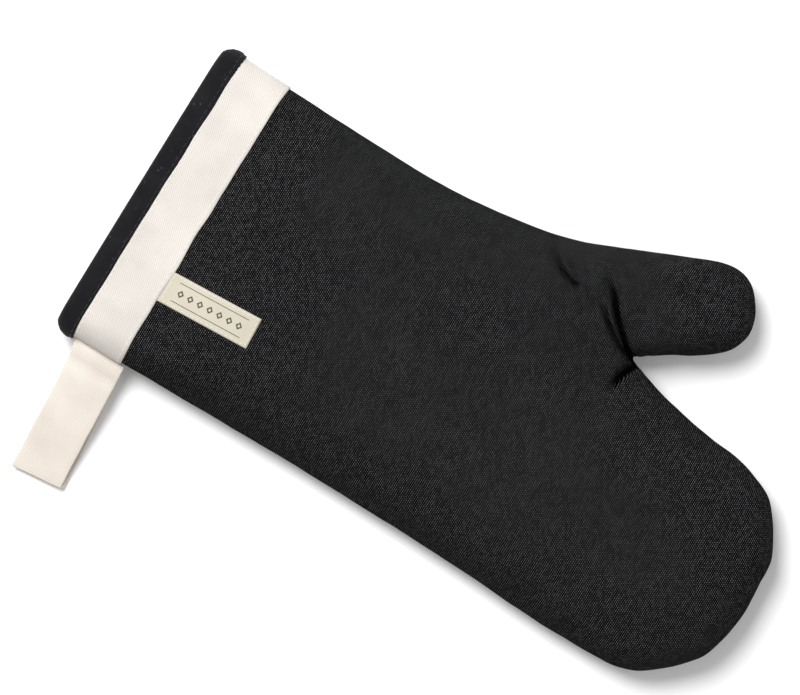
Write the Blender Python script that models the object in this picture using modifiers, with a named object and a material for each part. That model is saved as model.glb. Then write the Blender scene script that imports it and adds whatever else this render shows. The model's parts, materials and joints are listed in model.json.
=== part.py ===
"""A padded oven mitt lying flat, with its cuff, tape band, woven label and hanging loop.

Metres, +Z up.  X runs from the cuff to the fingertips, Y towards the thumb, and the mitt
lies on z = 0 with the origin under the middle of its outline.  The mitt is three layers
(outer fabric, wadding, lining) in an upper and a lower half, sewn at the side seam.  It
bends at two fold lines, across the knuckles and at the root of the thumb, so each layer
of each half is made in three panels: hand, fingers and thumb.
"""
import math

import bmesh
import bpy
from mathutils import Matrix, Vector

# ---- overall size --------------------------------------------------------------------
LENGTH = 0.350                  # cuff edge to fingertips
CUFF_X = -LENGTH / 2            # the cuff's edge
SEAM_Z = 0.0130                 # height of the side seam above the table
UPPER_HEIGHT = 0.0190           # seam to the top of the upper half
LOWER_HEIGHT = SEAM_Z           # seam to the table
RIM = 0.0120                    # width of the rounded edge, seen from above
TOP_Z = SEAM_Z + UPPER_HEIGHT

# ---- layers, as depths below the outer surface ---------------------------------------
CLEAR = 0.0002                  # clearance between layers
OUTER_THICK = 0.0010
WADDING_THICK = 0.0042
LINING_THICK = 0.0008
WADDING_DEPTH = OUTER_THICK + CLEAR
LINING_DEPTH = WADDING_DEPTH + WADDING_THICK + CLEAR
WALL = LINING_DEPTH + LINING_THICK

# ---- outline, one stretch after another, counter-clockwise from the cuff's near side --
BEYOND_CUFF = -0.230            # the outline runs past the cuff and is cut off there
NEAR_SIDE = (
    (BEYOND_CUFF, -0.0620), (-0.127, -0.0614), (-0.040, -0.0602),
    (0.043, -0.0612), (0.095, -0.0632), (0.124, -0.0628))
FINGERTIPS = (
    (0.150, -0.0560), (0.1690, -0.0368), (0.1749, -0.0080),
    (0.1728, 0.0220), (0.1585, 0.0433), (0.134, 0.0536))
FINGER_SIDE = ((0.1103, 0.0564), (0.0913, 0.0601), (0.0760, 0.0644))
THUMB_SIDE = ((0.0760, 0.0743), (0.0913, 0.0837))
THUMB_TIP = ((0.1030, 0.0925), (0.1088, 0.1060), (0.1035, 0.1205), (0.0920, 0.1296))
FAR_SIDE = (
    (0.0780, 0.1287), (0.0437, 0.1139), (0.0152, 0.1019), (-0.0228, 0.0944),
    (-0.0609, 0.0910), (-0.1037, 0.0910), (BEYOND_CUFF, 0.0926))
CROTCH = (0.0680, 0.0682)       # deepest point between the fingers and the thumb
CROTCH_RADIUS = 0.0016
CROTCH_OPENS_DEG = 22.0         # the notch opens in this direction
CROTCH_SWEEP_DEG = 130.0        # and its round bottom turns this far

# ---- fold lines ------------------------------------------------------------------------
KNUCKLE_X = 0.086               # the fingers fold up across this line
THUMB_FOLD_DEG = 136.0          # direction of the thumb's fold line, from the crotch outwards
FOLD_GAP = 0.0005               # clearance between panels at a fold line
FOLD_Z = TOP_Z                  # the fold lines lie in the upper surface
FOLD_REACH = 0.075              # the thumb's fold line runs from the crotch past the far side
NOTCH_Y = 0.070                 # height of the open notch between fingers and thumb at KNUCKLE_X

# ---- cutters reach past the mitt on every side ---------------------------------------------
PAST_NEAR_Y = -0.12
PAST_FAR_Y = 0.15
PAST_RIGHT_X = 0.20
PAST_TOP_Z = 0.10
PAST_BOTTOM_Z = -0.10
SEAM_GAP = 0.0003               # clearance between the halves at the side seam
EDGE_GAP = 0.0003               # clearance between the layers' raw edges and the binding

# ---- cuff ------------------------------------------------------------------------------
UPPER_TAPER_X = -0.1395         # from here to the cuff's edge the upper half gets thinner
LOWER_TAPER_X = -0.1050         # and from here the lower half
UPPER_THINNING = 0.15           # share of the height lost at the cuff's edge
LOWER_THINNING = 0.27
BINDING_WIDTH = 0.0095
BINDING_THICK = 0.0012
BINDING_PROUD_SIDE = 0.0028     # how far the binding stands out at the sides
BINDING_PROUD = 0.0014          # and above and below
BINDING_END_WALL = 0.0014
TAPE_WIDTH = 0.0253
TAPE_THICK = 0.0009
BAND_X0 = CUFF_X + BINDING_WIDTH + EDGE_GAP
BAND_X1 = BAND_X0 + TAPE_WIDTH
THREAD_RADIUS = 0.0003

# ---- label -------------------------------------------------------------------------------
LABEL_LENGTH = 0.0465
LABEL_WIDTH = 0.0158
LABEL_THICK = 0.0005
LABEL_CENTRE = (-0.1157, -0.0177)
LABEL_TURN_DEG = 3.2
LABEL_HEM = 0.0012              # the label's stitching runs this far inside its edge

# ---- hanging loop --------------------------------------------------------------------------
LOOP_WIDTH = 0.0255
LOOP_LENGTH = 0.0645
LOOP_THICK = 0.0008
LOOP_ROOT_X = -0.1487           # middle of the loop's root
LOOP_ROOT_Y = -0.0645
LOOP_LEAN_DEG = 3.6             # the loop leans towards the fingers
LOOP_HALF_GAP = 0.00045         # half the distance between the tape's two ends
LOOP_BULGE = 0.0032             # further out, the tape bows this much more to each side
LOOP_END_Z = 0.0032             # the folded end hangs down almost to the table

OBJECT_NAME = "oven_mitt"


def reset_scene():
    for old in list(bpy.data.objects):
        bpy.data.objects.remove(old, do_unlink=True)


def new_collection(name, hidden=False):
    collection = bpy.data.collections.new(name)
    bpy.context.scene.collection.children.link(collection)
    collection.hide_render = hidden
    return collection


def material(name, colour, roughness):
    found = bpy.data.materials.get(name)
    if found:
        return found
    made = bpy.data.materials.new(name)
    made.use_nodes = True
    made.diffuse_color = (*colour, 1.0)
    shader = made.node_tree.nodes["Principled BSDF"]
    shader.inputs["Base Color"].default_value = (*colour, 1.0)
    shader.inputs["Roughness"].default_value = roughness
    shader.inputs["Metallic"].default_value = 0.0
    return made


# ---- outline -----------------------------------------------------------------------------
def smooth_through(points, steps):
    """Points along a smooth curve through the given ones, with tangents by chord length."""
    points = [Vector(p) for p in points]
    tangents = []
    for i, point in enumerate(points):
        before = points[max(i - 1, 0)]
        after = points[min(i + 1, len(points) - 1)]
        reach = (point - before).length + (after - point).length
        tangents.append((after - before) / reach)
    run = []
    for i in range(len(points) - 1):
        a, b = points[i], points[i + 1]
        chord = (b - a).length
        ta, tb = tangents[i] * chord, tangents[i + 1] * chord
        for k in range(steps):
            t = k / steps
            run.append(a * (2 * t**3 - 3 * t**2 + 1) + ta * (t**3 - 2 * t**2 + t)
                       + b * (3 * t**2 - 2 * t**3) + tb * (t**3 - t**2))
    run.append(points[-1])
    return run


def direction(degrees):
    return Vector((math.cos(math.radians(degrees)), math.sin(math.radians(degrees))))


def crotch_arc(steps=4):
    """The small round bottom of the notch between the finger side and the thumb side."""
    centre = Vector(CROTCH) + CROTCH_RADIUS * direction(CROTCH_OPENS_DEG)
    first = CROTCH_OPENS_DEG + 180.0 + CROTCH_SWEEP_DEG / 2
    return [centre + CROTCH_RADIUS * direction(first - k * CROTCH_SWEEP_DEG / steps)
            for k in range(steps + 1)]


def mitt_outline():
    before = smooth_through(NEAR_SIDE + FINGERTIPS + FINGER_SIDE, 2)
    after = smooth_through(THUMB_SIDE + THUMB_TIP + FAR_SIDE, 2)
    return before + crotch_arc() + after


OUTLINE = mitt_outline()


# ---- building blocks ---------------------------------------------------------------------
def mesh_object(name, mesh, collection):
    made = bpy.data.objects.new(name, mesh)
    collection.objects.link(made)
    return made


def curve_to_mesh(curve_object, name, collection):
    """The curve's evaluated shape as a mesh object with its caps welded."""
    bpy.context.view_layer.update()
    graph = bpy.context.evaluated_depsgraph_get()
    mesh = bpy.data.meshes.new_from_object(curve_object.evaluated_get(graph))
    place = curve_object.matrix_world.copy()
    bpy.data.objects.remove(curve_object, do_unlink=True)
    made = mesh_object(name, mesh, collection)
    made.matrix_world = place
    weld = bmesh.new()
    weld.from_mesh(mesh)
    bmesh.ops.remove_doubles(weld, verts=weld.verts, dist=0.00001)
    bmesh.ops.recalc_face_normals(weld, faces=weld.faces)
    weld.to_mesh(mesh)
    weld.free()
    return made


def flat_curve(name, points, collection):
    data = bpy.data.curves.new(name, "CURVE")
    data.dimensions = "2D"
    data.fill_mode = "BOTH"
    spline = data.splines.new("POLY")
    spline.points.add(len(points) - 1)
    for spot, point in zip(spline.points, points):
        spot.co = (point[0], point[1], 0.0, 1.0)
    spline.use_cyclic_u = True
    return mesh_object(name, data, collection)


def pillow(name, depth, heights, collection, depth_side=None):
    """The mitt's whole form, sunk by depth below the outer surface.

    heights are the full heights above and below the seam.  The rim is a quarter ellipse
    above and another below the seam.  depth_side is the depth at the sides, where it
    differs from the depth above and below.
    """
    side = depth if depth_side is None else depth_side
    rim = RIM - side
    made = flat_curve(name, OUTLINE, collection)
    made.data.bevel_depth = rim
    made.data.bevel_resolution = 2
    made.data.offset = -RIM
    made = curve_to_mesh(made, name, collection)
    for vertex in made.data.vertices:
        full = heights[0] if vertex.co.z > 0 else heights[1]
        vertex.co.z = SEAM_Z + vertex.co.z / rim * (full - depth)
    return made


def prism(name, points, z0, z1, collection):
    made = flat_curve(name, points, collection)
    made.data.extrude = (z1 - z0) / 2
    made.location.z = (z0 + z1) / 2
    return curve_to_mesh(made, name, collection)


def boolean(target, cutter, operation):
    cut = target.modifiers.new(operation.lower(), "BOOLEAN")
    cut.operation = operation
    cut.solver = "EXACT"
    cut.object = cutter


def bake(target):
    """Replaces the object's mesh with what its modifiers make of it."""
    bpy.context.view_layer.update()
    graph = bpy.context.evaluated_depsgraph_get()
    mesh = bpy.data.meshes.new_from_object(target.evaluated_get(graph))
    target.modifiers.clear()
    target.data = mesh


def cuff_height(x, z):
    """The height of a point of the untapered form once the cuff is drawn towards the seam."""
    start, loss = (UPPER_TAPER_X, UPPER_THINNING) if z > SEAM_Z else (LOWER_TAPER_X, LOWER_THINNING)
    run = max(0.0, (start - x) / (start - CUFF_X))
    return SEAM_Z + (z - SEAM_Z) * (1.0 - loss * run)


def thin_cuff(target):
    """Draws the cuff's mesh towards the seam's height."""
    work = bmesh.new()
    work.from_mesh(target.data)
    for start in (UPPER_TAPER_X, LOWER_TAPER_X):
        everything = list(work.verts) + list(work.edges) + list(work.faces)
        bmesh.ops.bisect_plane(work, geom=everything, dist=0.000001,
                               plane_co=(start, 0, 0), plane_no=(1, 0, 0))
    for vertex in work.verts:
        vertex.co.z = cuff_height(vertex.co.x, vertex.co.z)
    bmesh.ops.triangulate(work, faces=work.faces)
    work.to_mesh(target.data)
    work.free()


def finish(target, look):
    target.data.materials.clear()
    target.data.materials.append(look)
    target.data.shade_smooth()
    target.data.set_sharp_from_angle(angle=math.radians(40))
    return target


# ---- the padded body -----------------------------------------------------------------------
HALF_SPANS = {
    "upper": (SEAM_Z + SEAM_GAP / 2, PAST_TOP_Z),
    "lower": (PAST_BOTTOM_Z, SEAM_Z - SEAM_GAP / 2)}
THUMB_LINE = direction(THUMB_FOLD_DEG)
THUMB_OUT = Vector((THUMB_LINE.y, -THUMB_LINE.x))   # from the fold line towards the thumb's tip


def zone_outline(part):
    """What belongs to one part of the mitt, seen from above, with the fold gaps left out.

    Outside the mitt the zones' corners only have to lie in the open, so between the fingers
    and the thumb they follow the notch: first its bottom, then along NOTCH_Y.
    """
    half = FOLD_GAP / 2
    hand_end = CUFF_X + BINDING_END_WALL + EDGE_GAP
    crotch = Vector(CROTCH)
    fold_far = crotch + THUMB_LINE * FOLD_REACH
    if part == "fingers":
        left = KNUCKLE_X + half
        return ((left, PAST_NEAR_Y), (PAST_RIGHT_X, PAST_NEAR_Y), (PAST_RIGHT_X, NOTCH_Y), (left, NOTCH_Y))
    if part == "hand":
        notch_bottom = crotch + CROTCH_RADIUS * direction(CROTCH_OPENS_DEG - 10.0)
        return (
            (hand_end, PAST_NEAR_Y), (KNUCKLE_X - half, PAST_NEAR_Y), (KNUCKLE_X - half, NOTCH_Y),
            notch_bottom, crotch - THUMB_OUT * half, fold_far - THUMB_OUT * half,
            (hand_end, fold_far.y))
    notch_rise = Vector((0.0, 0.0015))
    return (
        crotch + THUMB_OUT * half, Vector((KNUCKLE_X, NOTCH_Y)) + notch_rise,
        Vector((PAST_RIGHT_X, NOTCH_Y)) + notch_rise, (PAST_RIGHT_X, PAST_FAR_Y),
        (fold_far.x, PAST_FAR_Y), fold_far + THUMB_OUT * half)


def build_forms(cutters):
    """Every whole form that the layers, tape and binding are cut from, by depth."""
    heights = (UPPER_HEIGHT, LOWER_HEIGHT)
    forms = {}
    for name, depth in (
            ("outer", 0.0), ("outer_inside", OUTER_THICK),
            ("wadding", WADDING_DEPTH), ("wadding_inside", WADDING_DEPTH + WADDING_THICK),
            ("lining", LINING_DEPTH), ("cavity", WALL),
            ("tape", -CLEAR - TAPE_THICK), ("tape_inside", -CLEAR),
            ("binding_slot", -CLEAR), ("binding_tongue", WALL + CLEAR),
            ("binding_mouth", WALL + CLEAR + BINDING_THICK)):
        forms[name] = pillow("form_" + name, depth, heights, cutters)
    forms["binding"] = pillow("form_binding", -BINDING_PROUD, heights, cutters, -BINDING_PROUD_SIDE)
    return forms


def build_zones(cutters):
    zones = {}
    for part in ("hand", "fingers", "thumb"):
        for half, (z0, z1) in HALF_SPANS.items():
            zones[part, half] = prism(f"zone_{part}_{half}", zone_outline(part), z0, z1, cutters)
    return zones


def cut_layer(name, outside, inside, zone, look, collection, tapered):
    """One panel: the space between two whole forms, inside one zone."""
    panel = mesh_object(name, outside.data.copy(), collection)
    boolean(panel, inside, "DIFFERENCE")
    boolean(panel, zone, "INTERSECT")
    bake(panel)
    if tapered:
        thin_cuff(panel)
    return finish(panel, look)


def fold_hinges(collection):
    """An empty on each fold line, which carries the panels that turn about it."""
    hinges = {}
    for part, x, y in (("fingers", KNUCKLE_X, 0.0), ("thumb", *CROTCH)):
        hinge = bpy.data.objects.new(part + "_hinge", None)
        collection.objects.link(hinge)
        hinge.location = (x, y, FOLD_Z)
        hinges[part] = hinge
    return hinges


def hang_from(target, hinge):
    target.data.transform(Matrix.Translation(-hinge.location))
    target.parent = hinge


def build_panels(forms, zones, collection):
    black = material("black_cotton_twill", (0.018, 0.018, 0.019), 0.92)
    white = material("cotton_wadding", (0.75, 0.73, 0.68), 0.95)
    grey = material("dark_lining_cotton", (0.030, 0.030, 0.032), 0.90)
    layers = (
        ("outer", "outer", "outer_inside", black),
        ("wadding", "wadding", "wadding_inside", white),
        ("lining", "lining", "cavity", grey))
    hinges = fold_hinges(collection)
    for (part, half), zone in zones.items():
        for layer, outside, inside, look in layers:
            panel = cut_layer(f"{layer}_{half}_{part}", forms[outside], forms[inside], zone, look,
                              collection, part == "hand")
            if part in hinges:
                hang_from(panel, hinges[part])


# ---- cuff ------------------------------------------------------------------------------------
def strip(x0, x1):
    return ((x0, PAST_NEAR_Y), (x1, PAST_NEAR_Y), (x1, PAST_FAR_Y), (x0, PAST_FAR_Y))


def build_tape(forms, collection, cutters):
    ecru = material("ecru_twill_tape", (0.86, 0.80, 0.74), 0.85)
    for half, (z0, z1) in HALF_SPANS.items():
        zone = prism(f"zone_tape_{half}", strip(BAND_X0, BAND_X1), z0, z1, cutters)
        cut_layer(f"cuff_tape_{half}", forms["tape"], forms["tape_inside"], zone, ecru,
                  collection, True)


def build_binding(forms, collection, cutters):
    """A folded strip around the cuff's raw edge: outside, across the end and inside."""
    black = material("black_binding", (0.014, 0.014, 0.015), 0.90)
    whole = prism("zone_binding", strip(CUFF_X, CUFF_X + BINDING_WIDTH),
                  PAST_BOTTOM_Z, PAST_TOP_Z, cutters)
    slot_zone = prism("zone_binding_slot", strip(CUFF_X + BINDING_END_WALL, 0.0),
                      PAST_BOTTOM_Z, PAST_TOP_Z, cutters)
    slot = cut_layer("binding_slot", forms["binding_slot"], forms["binding_tongue"], slot_zone,
                     black, cutters, False)
    binding = mesh_object("cuff_binding", forms["binding"].data.copy(), collection)
    boolean(binding, forms["binding_mouth"], "DIFFERENCE")
    boolean(binding, whole, "INTERSECT")
    boolean(binding, slot, "DIFFERENCE")
    bake(binding)
    thin_cuff(binding)
    finish(binding, black)


def side_y(x, far):
    """Where the outline's near or far side is at x, for x in the cuff."""
    side = [p for p in OUTLINE if (p.y > 0) == far and p.x < 0]
    side.sort(key=lambda p: p.x)
    for a, b in zip(side, side[1:]):
        if a.x <= x <= b.x:
            return a.y + (b.y - a.y) * (x - a.x) / (b.x - a.x)
    raise ValueError("x is not in the cuff")


def ring_points(x, proud, proud_side):
    """The section of the cuff at x, standing proud of the outer fabric."""
    points = []
    quarter = 3
    near, far = side_y(x, False), side_y(x, True)
    rim = RIM + proud_side
    for edge, direction in ((near, 1), (far, -1)):
        arc = []
        for k in range(-quarter, quarter + 1):
            angle = k / quarter * math.pi / 2
            full = UPPER_HEIGHT if k > 0 else LOWER_HEIGHT
            y = edge + direction * (RIM - rim * math.cos(angle))
            z = cuff_height(x, SEAM_Z + (full + proud) * math.sin(angle))
            arc.append(Vector((x, y, z)))
        points += arc if direction > 0 else arc[::-1]
    return points


def thread(name, points, radius, look, collection):
    data = bpy.data.curves.new(name, "CURVE")
    data.dimensions = "3D"
    data.bevel_depth = radius
    data.bevel_resolution = 1
    data.use_fill_caps = True
    spline = data.splines.new("POLY")
    spline.points.add(len(points) - 1)
    for spot, point in zip(spline.points, points):
        spot.co = (*point, 1.0)
    spline.use_cyclic_u = True
    return finish(curve_to_mesh(mesh_object(name, data, collection), name, collection), look)


def build_stitching(collection):
    """Each row of stitches as one closed run of thread on the cloth's surface."""
    black = material("black_thread", (0.03, 0.03, 0.03), 0.6)
    ecru = material("ecru_thread", (0.80, 0.75, 0.68), 0.6)
    lift = THREAD_RADIUS + EDGE_GAP
    on_binding = (BINDING_PROUD + lift, BINDING_PROUD_SIDE + lift)
    on_tape = (CLEAR + TAPE_THICK + lift, CLEAR + TAPE_THICK + lift)
    rows = (
        ("binding_stitching", CUFF_X + BINDING_WIDTH - 0.0016, on_binding, black),
        ("tape_stitching_cuff_side", BAND_X0 + 0.0018, on_tape, ecru),
        ("tape_stitching_hand_side", BAND_X1 - 0.0018, on_tape, ecru))
    for name, x, proud, look in rows:
        thread(name, ring_points(x, *proud), THREAD_RADIUS, look, collection)


# ---- label -----------------------------------------------------------------------------------
def build_label(collection):
    cream = material("cream_woven_label", (0.76, 0.70, 0.56), 0.75)
    sewing = material("ecru_thread", (0.80, 0.75, 0.68), 0.6)
    holder = bpy.data.objects.new("label_place", None)
    collection.objects.link(holder)
    holder.location = (*LABEL_CENTRE, TOP_Z + CLEAR)
    holder.rotation_euler.z = math.radians(LABEL_TURN_DEG)
    half_l, half_w = LABEL_LENGTH / 2, LABEL_WIDTH / 2
    corners = ((-half_l, -half_w), (half_l, -half_w), (half_l, half_w), (-half_l, half_w))
    label = prism("woven_label", corners, 0.0, LABEL_THICK, collection)
    label.parent = holder
    finish(label, cream)
    run = [Vector((math.copysign(abs(x) - LABEL_HEM, x), math.copysign(abs(y) - LABEL_HEM, y),
                   LABEL_THICK + CLEAR + THREAD_RADIUS)) for x, y in corners]
    sewn = thread("label_stitching", run, THREAD_RADIUS, sewing, collection)
    sewn.parent = holder


# ---- hanging loop ----------------------------------------------------------------------------
def loop_profile():
    """The tape's middle line, seen along its width: out along the top, round and back."""
    steps = 8
    out, back = [], []
    for k in range(steps + 1):
        t = k / steps
        middle = SEAM_Z + (LOOP_END_Z - SEAM_Z) * math.sin(t * math.pi / 2)
        bow = LOOP_HALF_GAP + LOOP_BULGE * math.sin(math.pi * t) ** 0.8
        out.append(Vector((-t * LOOP_LENGTH, middle + bow)))
        back.append(Vector((-t * LOOP_LENGTH, middle - bow)))
    end = Vector((-LOOP_LENGTH - LOOP_HALF_GAP, LOOP_END_Z))
    return out + [end] + back[::-1]


def build_loop(collection):
    """A strip of tape folded in half, with both ends at the side seam."""
    ecru = material("ecru_twill_tape", (0.86, 0.80, 0.74), 0.85)
    holder = bpy.data.objects.new("loop_hinge", None)
    collection.objects.link(holder)
    holder.location = (LOOP_ROOT_X, LOOP_ROOT_Y, SEAM_Z)
    middle = loop_profile()
    strip_mesh = bmesh.new()
    rows = []
    for y, z in middle:
        lean = -y * math.tan(math.radians(LOOP_LEAN_DEG))
        rows.append([strip_mesh.verts.new((lean + side * LOOP_WIDTH / 2, y, z - SEAM_Z))
                     for side in (-1, 1)])
    for a, b in zip(rows, rows[1:]):
        strip_mesh.faces.new((a[0], a[1], b[1], b[0]))
    bmesh.ops.recalc_face_normals(strip_mesh, faces=strip_mesh.faces)
    mesh = bpy.data.meshes.new("hanging_loop")
    strip_mesh.to_mesh(mesh)
    strip_mesh.free()
    loop = mesh_object("hanging_loop", mesh, collection)
    loop.parent = holder
    thicken = loop.modifiers.new("thickness", "SOLIDIFY")
    thicken.thickness = LOOP_THICK
    thicken.offset = 0.0
    thicken.use_even_offset = True
    finish(loop, ecru)


def hide_cutters(cutters):
    for cutter in cutters.objects:
        cutter.hide_render = True
        cutter.display_type = "WIRE"


def main():
    reset_scene()
    collection = new_collection(OBJECT_NAME)
    cutters = new_collection("cutters", hidden=True)
    forms = build_forms(cutters)
    zones = build_zones(cutters)
    build_panels(forms, zones, collection)
    build_tape(forms, collection, cutters)
    build_binding(forms, collection, cutters)
    build_stitching(collection)
    build_label(collection)
    build_loop(collection)
    hide_cutters(cutters)


main()
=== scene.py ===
"""Looks of the oven mitt: padded black cotton with a taped, bound cuff, a label and a loop.

Metres, in the CAD model's frame: +X from the cuff to the fingertips, +Y towards the thumb,
+Z up, lying on z = 0. The outer fabric, wadding and lining are one family of surfaces: the
same pattern mesh lifted over the mitt's outline at different depths below the outer surface.
"""

import json
import math
from typing import NamedTuple

import bmesh
import bpy
import numpy as np
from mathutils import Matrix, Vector, noise
from mathutils.bvhtree import BVHTree
from mathutils.geometry import delaunay_2d_cdt


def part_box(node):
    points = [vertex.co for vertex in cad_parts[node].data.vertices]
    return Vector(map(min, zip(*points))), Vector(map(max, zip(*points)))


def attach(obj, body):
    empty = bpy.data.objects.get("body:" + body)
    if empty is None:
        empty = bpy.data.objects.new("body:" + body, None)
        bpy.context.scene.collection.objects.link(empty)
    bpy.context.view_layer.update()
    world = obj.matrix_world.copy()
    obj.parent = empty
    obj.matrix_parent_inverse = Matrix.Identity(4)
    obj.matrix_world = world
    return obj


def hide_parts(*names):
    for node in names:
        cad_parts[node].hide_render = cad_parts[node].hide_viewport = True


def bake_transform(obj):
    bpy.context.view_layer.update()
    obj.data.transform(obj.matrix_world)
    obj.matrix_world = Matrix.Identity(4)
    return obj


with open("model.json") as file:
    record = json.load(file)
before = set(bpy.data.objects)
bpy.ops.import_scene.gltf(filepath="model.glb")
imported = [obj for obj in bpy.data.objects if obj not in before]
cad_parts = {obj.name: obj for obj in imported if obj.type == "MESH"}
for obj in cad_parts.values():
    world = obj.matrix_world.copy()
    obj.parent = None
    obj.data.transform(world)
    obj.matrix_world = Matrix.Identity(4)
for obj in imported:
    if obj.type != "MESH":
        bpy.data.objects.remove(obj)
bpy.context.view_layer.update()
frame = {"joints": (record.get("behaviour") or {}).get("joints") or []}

# ---- sizes, from the frame where it has them ----
SEAM_Z = (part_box("outer_upper_fingers")[0].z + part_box("outer_lower_fingers")[1].z) / 2
CUFF_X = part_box("cuff_binding")[0].x
BINDING_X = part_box("cuff_binding")[1].x + 0.0013
RAW_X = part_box("outer_upper_hand")[0].x
BAND_X0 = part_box("cuff_tape_upper")[0].x
BAND_X1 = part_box("cuff_tape_upper")[1].x + 0.0013
JOINTS = {joint["name"]: joint for joint in frame["joints"]}
CROTCH = Vector(JOINTS["thumb_fold"]["pos_m"][:2])
THUMB_OUT = Vector((-JOINTS["thumb_fold"]["axis"][1], JOINTS["thumb_fold"]["axis"][0]))

RIM = 0.0125                    # width of the rounded edge seen from above
SHOULDER = 0.0145               # upper half's height just inside the rounded edge
CROWN = 0.0045                  # and how much higher it is far from any edge
CROWN_REACH = 0.022
TABLE_GAP = 0.0004
CUFF_LIFT = 0.0022              # the thicker cuff lifts the lower half off the table
WALL = 0.0064                   # outer fabric, wadding and lining together

# The outline: the CAD model's stretches, with the small unevenness of a sewn edge.
BEYOND_CUFF = -0.230
NEAR_SIDE = (
    (BEYOND_CUFF, -0.0620), (-0.127, -0.0616), (-0.040, -0.0605),
    (0.043, -0.0613), (0.095, -0.0633), (0.1096, -0.0631), (0.124, -0.0629))
FINGERTIPS = (
    (0.1378, -0.0614), (0.150, -0.0561), (0.1691, -0.0370), (0.1740, -0.0230), (0.1758, -0.0080),
    (0.1750, 0.0073), (0.1732, 0.0222), (0.1589, 0.0438), (0.1472, 0.0501), (0.134, 0.0537))
FINGER_SIDE = ((0.1221, 0.0548), (0.1103, 0.0564), (0.0913, 0.0602), (0.0760, 0.0645))
THUMB_SIDE = ((0.0760, 0.0741), (0.0835, 0.0792), (0.0913, 0.0835))
THUMB_TIP = (
    (0.1030, 0.0926), (0.1071, 0.0988), (0.1090, 0.1060), (0.1075, 0.1137), (0.1037, 0.1205),
    (0.0987, 0.1262), (0.0921, 0.1296))
FAR_SIDE = (
    (0.0850, 0.1300), (0.0781, 0.1284), (0.0611, 0.1213), (0.0438, 0.1137), (0.0295, 0.1077),
    (0.0148, 0.1019), (-0.0038, 0.0973), (-0.0228, 0.0943),
    (-0.0418, 0.0919), (-0.0609, 0.0909), (-0.1037, 0.0910), (BEYOND_CUFF, 0.0926))
CROTCH_RADIUS = 0.0016
CROTCH_OPENS_DEG = 22.0
CROTCH_ARC_DEG = (247.0, 120.0)  # from the finger side to the thumb side

STEP = 0.0026                   # spacing of points along the outline
GRID = 0.0036                   # spacing of points in the open field of the pattern
CREASE_REACH = (0.0058, 0.0044, 0.0030)  # how far from a crease each round of refining goes
RINGS = 7                       # rings of the rounded edge

# Folds in the upper side: points from the deep end outwards, depth, half width on the left
# and on the right, and the height of the ridges beside it as a share of its depth.
CREASES = (
    (((0.0690, 0.0668), (0.0640, 0.0690), (0.0587, 0.0736), (0.0550, 0.0769), (0.0510, 0.0807),
      (0.0450, 0.0875), (0.0412, 0.0908), (0.0367, 0.0943), (0.0315, 0.0960)),
     0.0042, 0.0019, 0.0009, 0.34),
    (((0.0668, 0.0664), (0.0581, 0.0697), (0.0527, 0.0727), (0.0476, 0.0765), (0.0436, 0.0797),
      (0.0362, 0.0849)), 0.0024, 0.0015, 0.0008, 0.25),
    (((0.0262, 0.0832), (0.0205, 0.0843), (0.0152, 0.0873), (0.0103, 0.0913), (0.0072, 0.0950)),
     0.0024, 0.0020, 0.0009, 0.40),
    (((0.0255, 0.0858), (0.0210, 0.0881), (0.0168, 0.0904), (0.0137, 0.0920)),
     0.0010, 0.0011, 0.0007, 0.30),
    (((0.0712, 0.0655), (0.0694, 0.0627), (0.0676, 0.0588), (0.0666, 0.0547), (0.0666, 0.0510),
      (0.0674, 0.0482)), 0.0040, 0.0010, 0.0024, 0.30),
)
# Broad soft hollows: centre, direction in degrees, half length, half width, depth.
HOLLOWS = (
    ((0.010, 0.060), -32.0, 0.034, 0.010, 0.0012),
    ((0.059, 0.086), 50.0, 0.010, 0.006, 0.0009),
    ((0.061, 0.044), -60.0, 0.014, 0.008, 0.0012),
    ((-0.040, 0.020), 75.0, 0.050, 0.016, 0.0008),
    ((0.100, -0.010), 100.0, 0.050, 0.014, 0.0006),
)


# ---- small geometry helpers ----
def direction(degrees):
    return Vector((math.cos(math.radians(degrees)), math.sin(math.radians(degrees))))


def smooth_through(points, spacing):
    """Points about spacing apart along a smooth curve through the given ones."""
    points = [Vector(p) for p in points]
    tangents = []
    for i, point in enumerate(points):
        before = points[max(i - 1, 0)]
        after = points[min(i + 1, len(points) - 1)]
        tangents.append((after - before) / ((point - before).length + (after - point).length))
    run = []
    for i in range(len(points) - 1):
        a, b = points[i], points[i + 1]
        chord = (b - a).length
        ta, tb = tangents[i] * chord, tangents[i + 1] * chord
        steps = 24
        for k in range(steps):
            t = k / steps
            run.append(a * (2 * t**3 - 3 * t**2 + 1) + ta * (t**3 - 2 * t**2 + t)
                       + b * (3 * t**2 - 2 * t**3) + tb * (t**3 - t**2))
    run.append(points[-1])
    return resample(run, spacing)


def run_lengths(points, closed=False):
    """How far along a run each of its points lies. A closed run comes back to its start."""
    points = np.array(points)
    if closed:
        points = np.concatenate([points, points[:1]])
    return np.concatenate(([0.0], np.cumsum(np.linalg.norm(np.diff(points, axis=0), axis=1))))


def resample(run, spacing):
    run = np.array([tuple(p) for p in run])
    length = run_lengths(run)
    count = max(2, round(length[-1] / spacing) + 1)
    at = np.linspace(0.0, length[-1], count)
    return np.stack([np.interp(at, length, run[:, i]) for i in range(run.shape[1])], axis=1)


def crotch_arc(steps):
    centre = CROTCH + CROTCH_RADIUS * direction(CROTCH_OPENS_DEG)
    return np.array([tuple(centre + CROTCH_RADIUS * direction(turn))
                     for turn in np.linspace(*CROTCH_ARC_DEG, steps + 1)])


def clip_to_cuff(run):
    """Ends a run of outline points exactly at the layers' raw edge."""
    keep = run[run[:, 0] > RAW_X + 0.3 * STEP]
    y = np.interp(RAW_X, *(run[np.argsort(run[:, 0])][:, i] for i in (0, 1)))
    return keep, np.array([[RAW_X, y]])


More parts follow.
